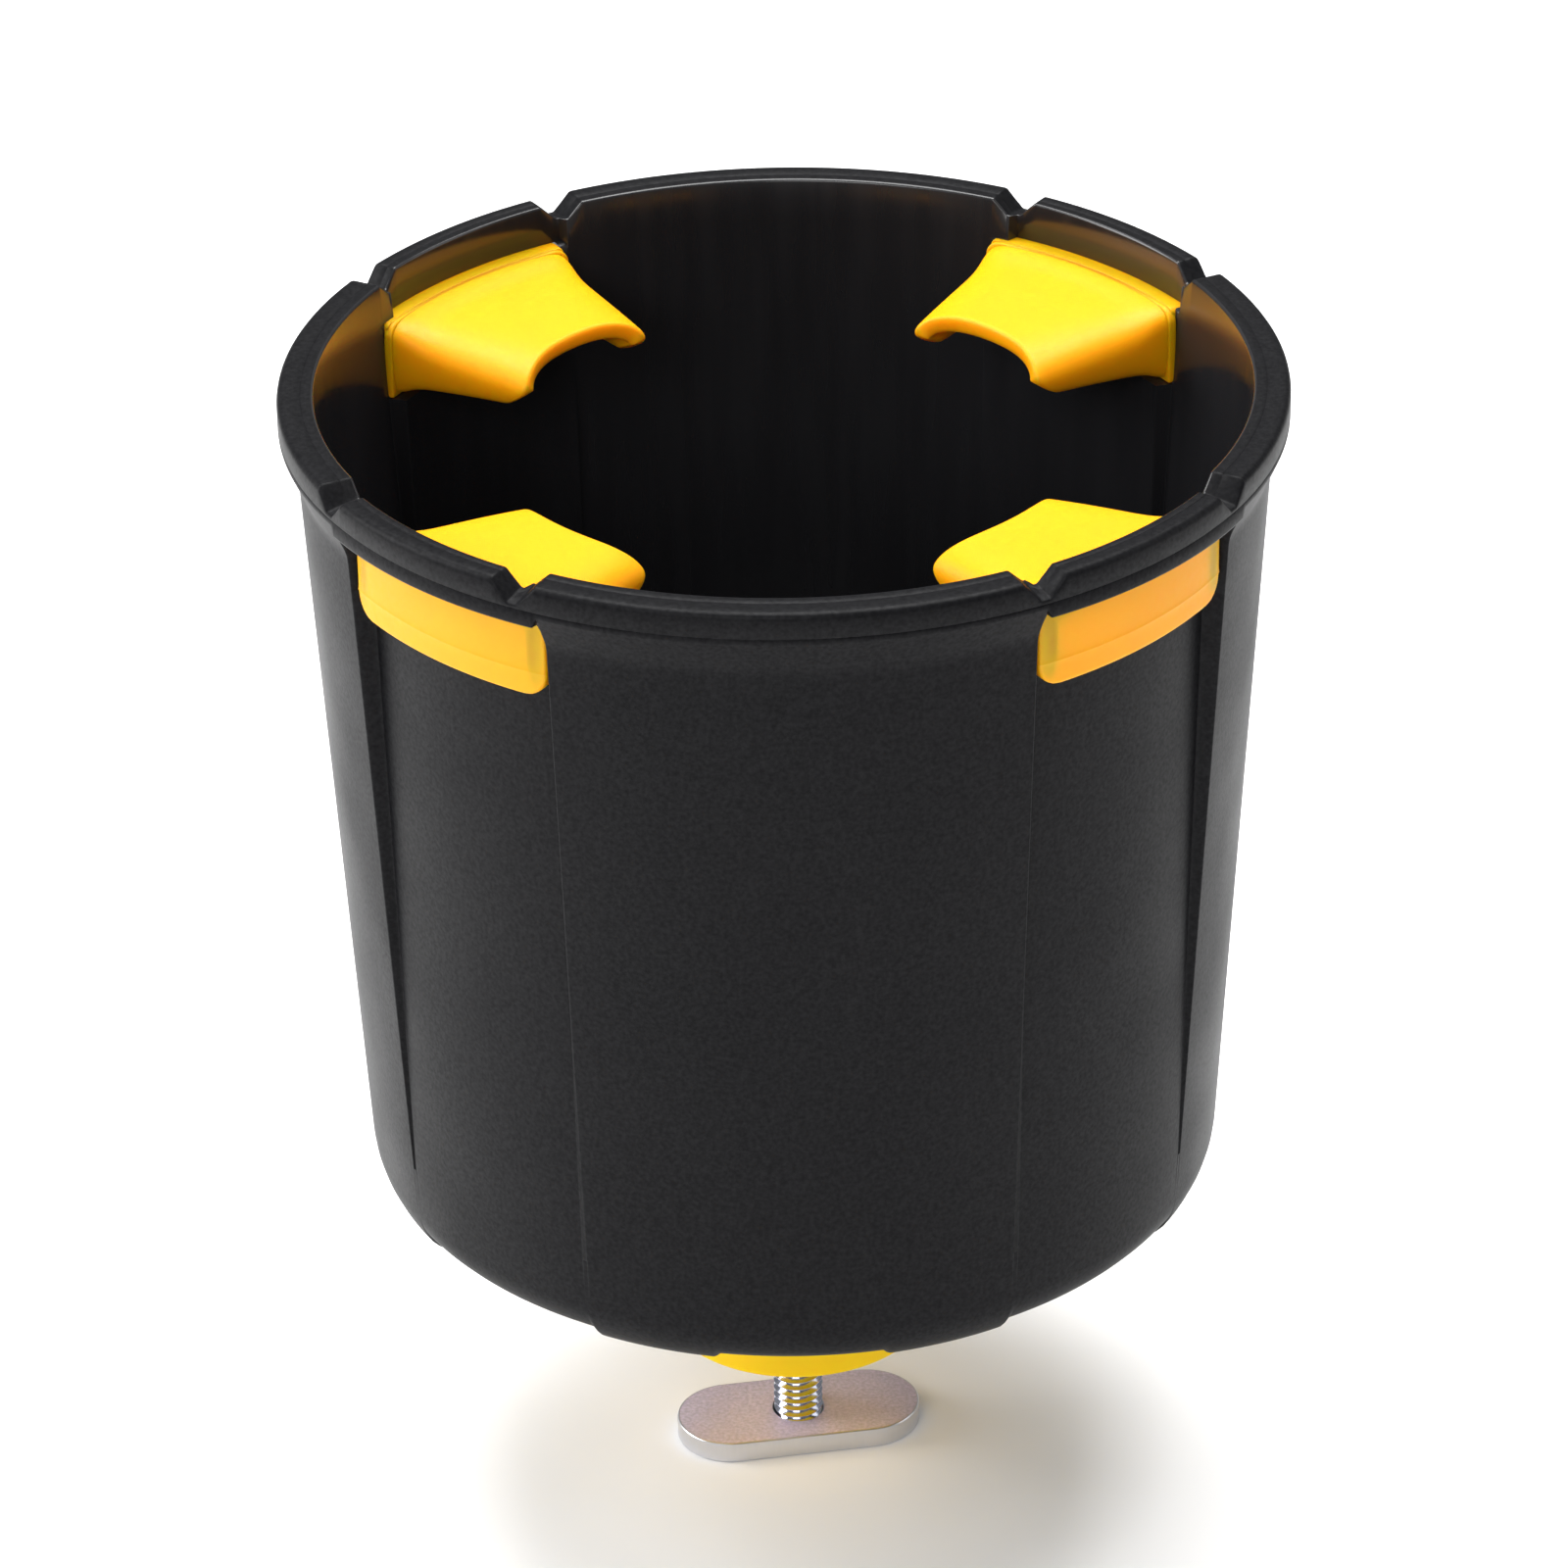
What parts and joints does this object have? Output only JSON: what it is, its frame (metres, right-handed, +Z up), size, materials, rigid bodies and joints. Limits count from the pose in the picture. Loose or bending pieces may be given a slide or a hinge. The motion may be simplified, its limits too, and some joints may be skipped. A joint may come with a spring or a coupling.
{
  "type": "track mount cup holder",
  "caption": "Round moulded cup holder with sprung silicone grips under a notched rim, on a spacer, screw and T plate that clamp it to a slotted track.",
  "frame": {"origin": "underside of the spacer on the screw's axis, where the holder rests on the track", "axes": "+Z up along the screw towards the rim; the front faces -Y; +X to the right seen from the front"},
  "size_m": [0.115, 0.115, 0.1444],
  "materials": {
    "cup_plastic": "moulded black plastic, satin outside and glossy inside",
    "grip_silicone": "moulded yellow silicone, slightly translucent",
    "spacer_rubber": "moulded yellow elastomer",
    "screw_steel": "bright stainless steel, rolled thread",
    "plate_steel": "blanked steel plate with a grained face and bright edges"
  },
  "bodies": {
    "cup": {"cup_body": "cup_plastic", "spacer": "spacer_rubber", "washer": "screw_steel", "grip_pad_back_right": "grip_silicone", "grip_pad_back_left": "grip_silicone", "grip_pad_front_left": "grip_silicone", "grip_pad_front_right": "grip_silicone"},
    "flap_back_right": {"grip_flap_back_right": "grip_silicone"},
    "flap_back_left": {"grip_flap_back_left": "grip_silicone"},
    "flap_front_left": {"grip_flap_front_left": "grip_silicone"},
    "flap_front_right": {"grip_flap_front_right": "grip_silicone"},
    "screw": {"clamp_screw": "screw_steel"},
    "plate": {"track_plate": "plate_steel"}
  },
  "joints": [
    {"name": "flap_bend_back_right", "type": "hinge", "parent": "cup", "child": "flap_back_right", "pos_m": [0.03545, 0.03545, 0.1119], "axis": [0.7071, -0.7071, 0], "range_deg": [0, 65], "stiffness_Nm_per_rad": 0.03},
    {"name": "flap_bend_back_left", "type": "hinge", "parent": "cup", "child": "flap_back_left", "pos_m": [-0.03545, 0.03545, 0.1119], "axis": [0.7071, 0.7071, 0], "range_deg": [0, 65], "stiffness_Nm_per_rad": 0.03},
    {"name": "flap_bend_front_left", "type": "hinge", "parent": "cup", "child": "flap_front_left", "pos_m": [-0.03545, -0.03545, 0.1119], "axis": [-0.7071, 0.7071, 0], "range_deg": [0, 65], "stiffness_Nm_per_rad": 0.03},
    {"name": "flap_bend_front_right", "type": "hinge", "parent": "cup", "child": "flap_front_right", "pos_m": [0.03545, -0.03545, 0.1119], "axis": [-0.7071, -0.7071, 0], "range_deg": [0, 65], "stiffness_Nm_per_rad": 0.03},
    {"name": "screw_turn", "type": "hinge", "parent": "cup", "child": "screw", "pos_m": [0, 0, 0], "axis": [0, 0, -1], "range_deg": [-365, 4325]},
    {"name": "plate_travel", "type": "slide", "parent": "cup", "child": "plate", "axis": [0, 0, 1], "range_m": [-0.001, 0.012]}
  ],
  "couplings": [
    {"joint": "screw_turn", "follows": "plate_travel", "rad_per_m": 6283.2}
  ]
}
